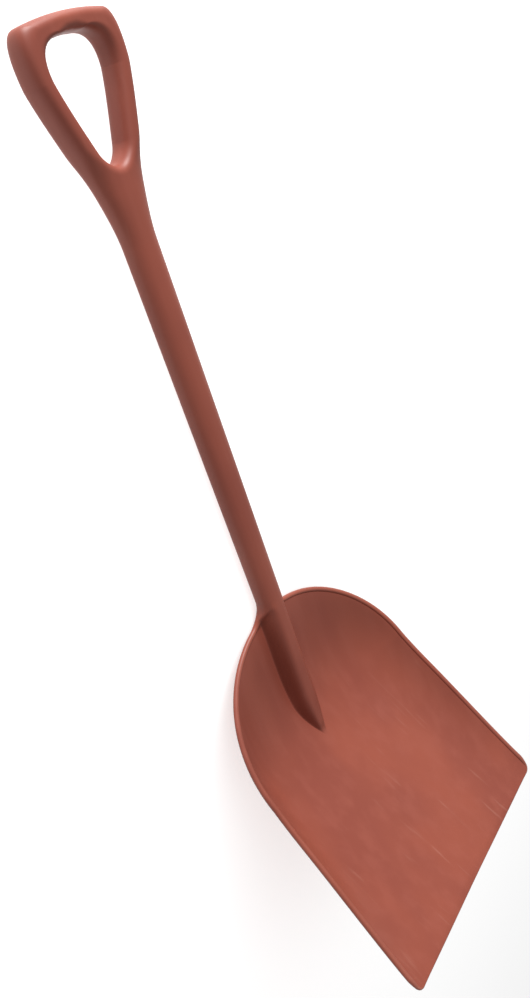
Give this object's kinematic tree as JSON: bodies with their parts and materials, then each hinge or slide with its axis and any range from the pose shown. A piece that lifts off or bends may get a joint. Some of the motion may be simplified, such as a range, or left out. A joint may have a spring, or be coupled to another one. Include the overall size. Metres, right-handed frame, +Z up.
{
  "type": "grain scoop shovel",
  "caption": "Moulded plastic scoop shovel: shallow bowl blade with beaded rim and rounded back, spine ridge, lifted oval shaft and D grip.",
  "frame": {"origin": "on the ground under the middle of the object, which lies on its back on its heel and grip", "axes": "+Z up, the hollow side up; +Y along the shaft towards the grip, the front edge at -Y; +X to the right across the blade"},
  "size_m": [0.3492, 1.0264, 0.1936],
  "materials": {
    "moulding": "satin moulded polypropylene, terracotta red-brown"
  },
  "bodies": {
    "root": {"blade_floor": "moulding", "cutting_edge": "moulding", "front_lip": "moulding", "left_side_wall": "moulding", "right_side_wall": "moulding", "left_heel": "moulding", "right_heel": "moulding", "left_shoulder": "moulding", "right_shoulder": "moulding", "left_side_rim": "moulding", "right_side_rim": "moulding", "left_back_rim": "moulding", "right_back_rim": "moulding", "spine_ridge": "moulding", "neck": "moulding", "shaft": "moulding", "yoke": "moulding", "left_grip_arm": "moulding", "right_grip_arm": "moulding", "left_grip_corner": "moulding", "right_grip_corner": "moulding", "grip_bar": "moulding"}
  },
  "joints": []
}
